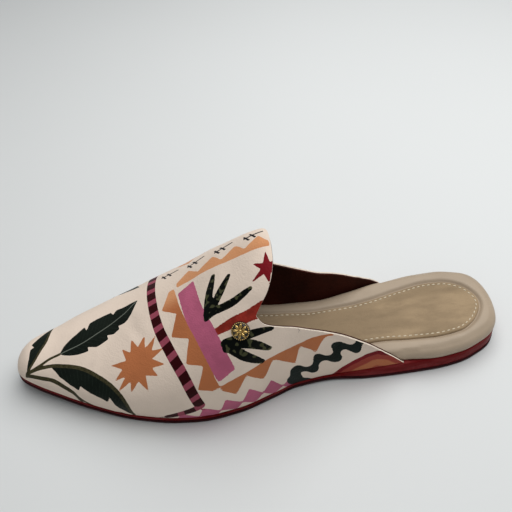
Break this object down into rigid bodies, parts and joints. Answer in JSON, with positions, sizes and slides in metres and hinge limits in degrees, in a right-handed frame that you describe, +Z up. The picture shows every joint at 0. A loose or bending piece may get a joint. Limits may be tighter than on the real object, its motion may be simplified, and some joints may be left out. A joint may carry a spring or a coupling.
{
  "type": "flat backless slipper",
  "caption": "Flat pointed backless slipper with a printed leather upper, high rounded tongue, padded footbed and thin stacked sole.",
  "frame": {"origin": "bottom centre of the shoe's box, on the ground it stands on", "axes": "+X from heel to toe, +Y to the wearer's left, which is the outer side of this left shoe, +Z up"},
  "size_m": [0.2682, 0.0864, 0.0839],
  "materials": {
    "outsole": "satin",
    "midsole": "dyed and polished edge",
    "footbed": "smooth, soft sheen",
    "upper": "smooth printed leather, brown lining",
    "stud": "polished, darkened in its hollows"
  },
  "bodies": {
    "root": {"outsole": "outsole", "midsole": "midsole", "footbed": "footbed", "upper": "upper", "stud": "stud"}
  },
  "joints": []
}
